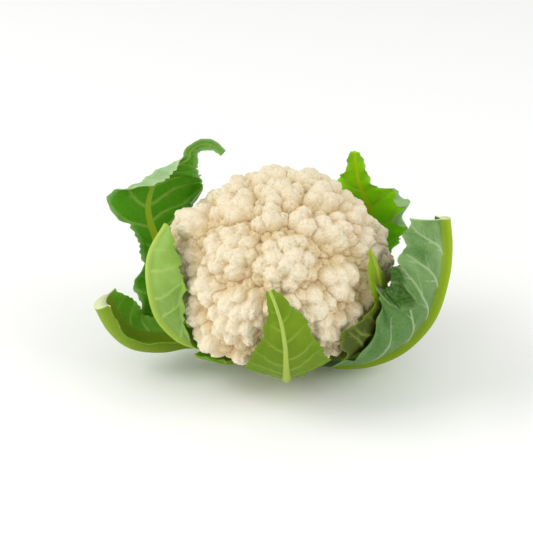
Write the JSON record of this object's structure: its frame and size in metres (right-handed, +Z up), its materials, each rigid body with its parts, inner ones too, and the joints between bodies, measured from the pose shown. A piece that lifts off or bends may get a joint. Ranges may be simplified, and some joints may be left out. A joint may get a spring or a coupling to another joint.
{
  "type": "cauliflower",
  "caption": "Whole head of cauliflower: a pale domed curd of florets, wrapped by trimmed green leaves with thick pale ribs, standing on its short cut stem.",
  "frame": {"origin": "middle of the flat cut face under the stem, on the surface that the head stands on", "axes": "+Z up out of the cut stem; +X to the right and -Y towards the viewer, the side that the curd leans towards"},
  "size_m": [0.2471, 0.1883, 0.1566],
  "materials": {
    "curd_ivory": "ivory cream curd, matt and finely grained",
    "stem_pale_green": "pale green stem with a creamy cut face",
    "leaf_dark_green": "dark green leaf, bluish and bloomed outside, with a pale rib and veins",
    "leaf_light_green": "yellow-green young leaf with a pale rib and veins"
  },
  "bodies": {
    "root": {"curd": "curd_ivory", "stem": "stem_pale_green", "leaf_front": "leaf_light_green", "leaf_right_large": "leaf_dark_green", "leaf_right_inner": "leaf_light_green", "leaf_right_back": "leaf_dark_green", "leaf_back_right": "leaf_light_green", "leaf_back": "leaf_dark_green", "leaf_back_left": "leaf_light_green", "leaf_left_tall": "leaf_dark_green", "leaf_left_cut": "leaf_dark_green", "leaf_left_near": "leaf_light_green", "leaf_left_low": "leaf_dark_green"}
  },
  "joints": []
}
